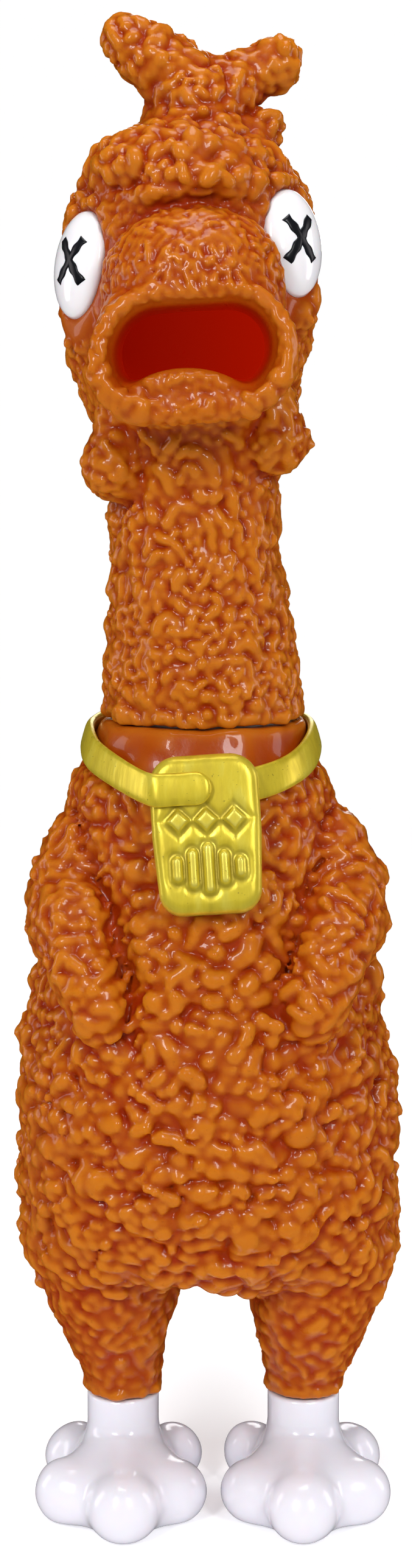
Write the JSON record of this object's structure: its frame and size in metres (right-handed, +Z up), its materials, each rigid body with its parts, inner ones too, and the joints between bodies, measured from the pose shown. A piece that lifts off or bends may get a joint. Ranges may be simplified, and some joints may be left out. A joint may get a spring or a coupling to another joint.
{
  "type": "squeeze-and-scream rubber chicken",
  "caption": "Hollow vinyl rubber chicken with a fried-crust skin, an open screaming beak, a gold tag necklace and a reed whistle in its collar.",
  "frame": {"origin": "middle of the bounding box's bottom face, on the surface that the soles stand on, with the neck's turning axis straight above it", "axes": "+Z up along the neck, the beak and the tag face -Y, +X towards the right as seen from the front"},
  "size_m": [0.0792, 0.0706, 0.3012],
  "materials": {
    "crust_vinyl": "glossy translucent orange-brown vinyl, lumpy like fried batter, darker in the creases",
    "foot_white": "glossy white vinyl with a faint lavender tint",
    "eye_white": "glossy white paint",
    "eye_cross_paint": "hand-brushed glossy black paint",
    "gold_paint": "greenish gold metallic paint, brushed on and worn at its edges",
    "whistle_plastic": "satin moulded plastic",
    "reed_film": "thin milky plastic film"
  },
  "bodies": {
    "body": {"body_shell": "crust_vinyl", "left_foot": "foot_white", "right_foot": "foot_white", "necklace_strap": "gold_paint", "tag": "gold_paint", "whistle_plug": "whistle_plastic", "reed_trough": "whistle_plastic", "reed_wedge": "whistle_plastic"},
    "head": {"head_shell": "crust_vinyl", "left_eye": "eye_white", "right_eye": "eye_white", "left_eye_cross": "eye_cross_paint", "right_eye_cross": "eye_cross_paint"},
    "reed": {"reed": "reed_film"}
  },
  "joints": [
    {"name": "head_turn", "type": "hinge", "parent": "body", "child": "head", "pos_m": [0, 0, 0.1669], "axis": [0, 0, 1], "continuous": true},
    {"name": "reed_flex", "type": "hinge", "parent": "body", "child": "reed", "pos_m": [0, -0.00015, 0.1579], "axis": [1, 0, 0], "range_deg": [-3, 3], "stiffness_Nm_per_rad": 0.004}
  ]
}
